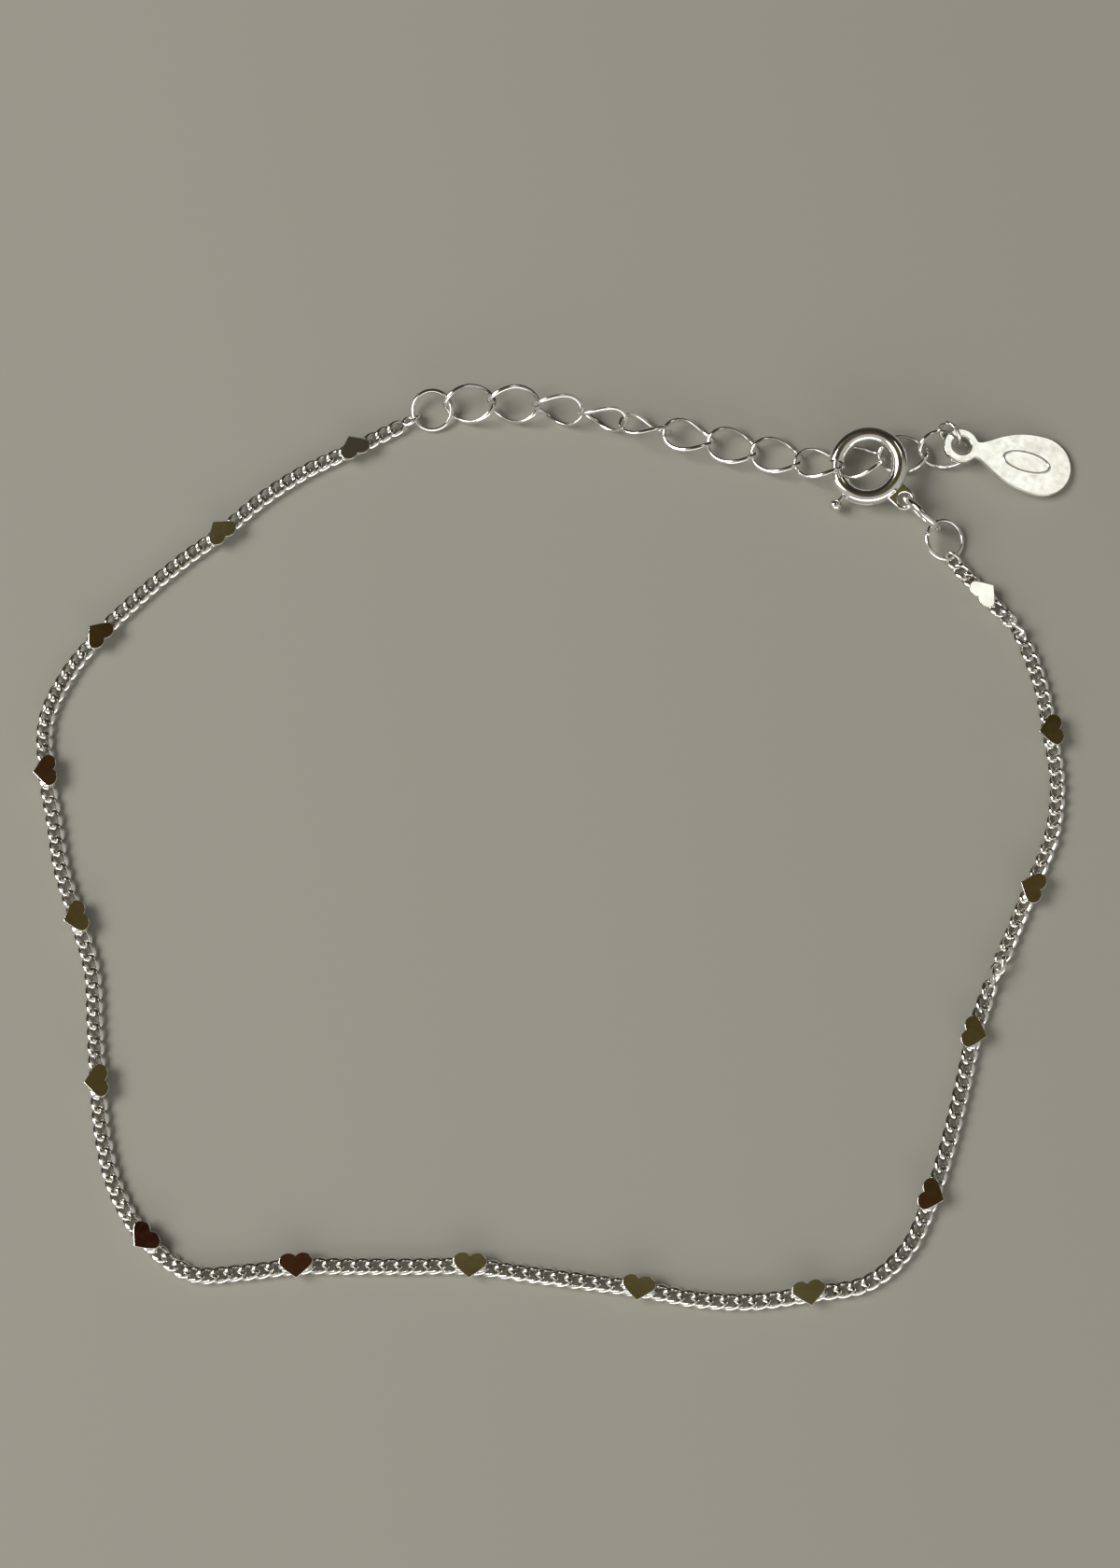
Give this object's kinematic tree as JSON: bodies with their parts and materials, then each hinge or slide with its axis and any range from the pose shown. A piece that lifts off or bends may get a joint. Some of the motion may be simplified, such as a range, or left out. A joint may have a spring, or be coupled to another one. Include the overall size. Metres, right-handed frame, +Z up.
{
  "type": "chain bracelet",
  "caption": "Fine silver curb chain bracelet with flat heart stations, closed by a spring ring on its extender chain and lying as an open loop",
  "frame": {"origin": "the middle of the loop's outline, on the surface that the bracelet lies on", "axes": "+Z up from the surface, +Y away from the viewer towards the fastening, +X to the viewer's right"},
  "size_m": [0.0648, 0.058, 0.0031],
  "materials": {
    "chain": "polished silver",
    "hearts": "mirror-polished silver",
    "fastening": "polished silver",
    "clasp": "polished silver",
    "tag": "polished silver"
  },
  "bodies": {
    "bracelet": {"chain": "chain", "heart_01": "hearts", "heart_02": "hearts", "heart_03": "hearts", "heart_04": "hearts", "heart_05": "hearts", "heart_06": "hearts", "heart_07": "hearts", "heart_08": "hearts", "heart_09": "hearts", "heart_10": "hearts", "heart_11": "hearts", "heart_12": "hearts", "heart_13": "hearts", "heart_14": "hearts", "heart_15": "hearts", "heart_16": "hearts", "end_link_left": "chain", "end_link_right": "chain", "jump_ring_left": "fastening", "jump_ring_right": "fastening", "extender_link_01": "fastening", "extender_link_02": "fastening", "extender_link_03": "fastening", "extender_link_04": "fastening", "extender_link_05": "fastening", "extender_link_06": "fastening", "extender_link_07": "fastening", "extender_link_08": "fastening", "extender_link_09": "fastening", "extender_link_10": "fastening", "extender_link_11": "fastening", "extender_link_12": "fastening", "tag_ring": "fastening", "tag": "tag", "spring_ring": "clasp", "tail_ring": "fastening"},
    "bolt": {"clasp_bolt": "clasp"}
  },
  "joints": [
    {"name": "clasp_bolt_slide", "type": "hinge", "parent": "bracelet", "child": "bolt", "pos_m": [0.01941, 0.02343, 0.00142], "axis": [-0.182, -0.1531, 0.9713], "range_deg": [0, 41], "stiffness_Nm_per_rad": 0.003, "springref_deg": -11.46}
  ]
}
